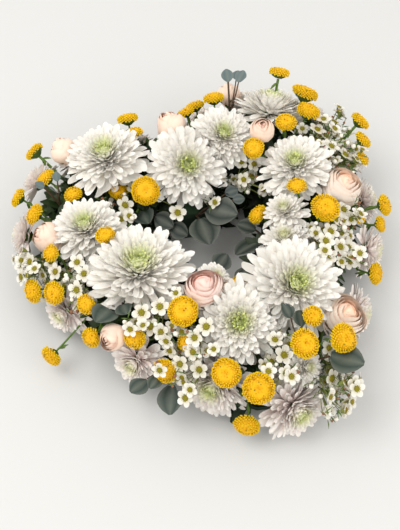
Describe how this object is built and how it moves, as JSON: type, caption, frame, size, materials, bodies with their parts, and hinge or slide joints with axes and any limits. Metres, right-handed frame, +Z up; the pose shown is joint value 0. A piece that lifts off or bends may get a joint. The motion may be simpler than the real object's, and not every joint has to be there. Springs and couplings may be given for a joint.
{
  "type": "funeral wreath",
  "caption": "Open heart-shaped funeral wreath of chrysanthemums, roses, yellow button blooms, waxflower and eucalyptus on a foam frame in a shallow tray.",
  "frame": {"origin": "middle of the wreath's outline on the ground, under the heart", "axes": "+Z up, +Y from the heart's tip to its cleft, +X to the right seen from the front"},
  "size_m": [0.3918, 0.387, 0.1199],
  "materials": {
    "tray_plastic": "matt dark green",
    "foam": "matt green open-cell foam",
    "petals_white": "soft white petals",
    "petals_peach": "soft peach petals",
    "florets_yellow": "matt yellow florets",
    "petals_wax": "waxy white petals",
    "leaf_grey_green": "matt grey-green leaves"
  },
  "bodies": {
    "root": {"base_tray": "tray_plastic", "foam_ring": "foam", "chrysanthemum_01": "petals_white", "chrysanthemum_02": "petals_white", "chrysanthemum_03": "petals_white", "chrysanthemum_04": "petals_white", "chrysanthemum_05": "petals_white", "chrysanthemum_06": "petals_white", "chrysanthemum_07": "petals_white", "chrysanthemum_spray_hole": "petals_white", "chrysanthemum_08": "petals_white", "chrysanthemum_09": "petals_white", "chrysanthemum_10": "petals_white", "chrysanthemum_11": "petals_white", "chrysanthemum_12": "petals_white", "chrysanthemum_spray_tip": "petals_white", "chrysanthemum_spray_left": "petals_white", "chrysanthemum_spray_right": "petals_white", "chrysanthemum_spray_front": "petals_white", "chrysanthemum_spray_back_left": "petals_white", "chrysanthemum_spray_back_right": "petals_white", "chrysanthemum_spray_far_right": "petals_white", "rose_01": "petals_peach", "rose_02": "petals_peach", "rose_03": "petals_peach", "rose_04": "petals_peach", "rose_05": "petals_peach", "rose_06": "petals_peach", "rose_07": "petals_peach", "rose_08": "petals_peach", "rose_09": "petals_peach", "button_spray_left_back": "florets_yellow", "button_spray_left": "florets_yellow", "button_spray_left_front": "florets_yellow", "button_spray_left_low": "florets_yellow", "button_spray_cleft_left": "florets_yellow", "button_spray_cleft": "florets_yellow", "button_spray_back": "florets_yellow", "button_spray_inner": "florets_yellow", "button_spray_right": "florets_yellow", "button_spray_right_low": "florets_yellow", "button_spray_hole": "florets_yellow", "button_spray_hole_left": "florets_yellow", "button_spray_front_left": "florets_yellow", "button_spray_front": "florets_yellow", "button_spray_tip": "florets_yellow", "waxflower_spray_left": "petals_wax", "waxflower_spray_lower": "petals_wax", "waxflower_spray_right": "petals_wax", "waxflower_spray_right_low": "petals_wax", "waxflower_spray_tip": "petals_wax", "waxflower_spray_hole": "petals_wax", "eucalyptus_hole_top": "leaf_grey_green", "eucalyptus_hole_right": "leaf_grey_green", "eucalyptus_hole_left": "leaf_grey_green", "eucalyptus_back": "leaf_grey_green", "eucalyptus_left": "leaf_grey_green", "eucalyptus_front_left": "leaf_grey_green", "eucalyptus_front": "leaf_grey_green", "eucalyptus_tip": "leaf_grey_green"}
  },
  "joints": []
}
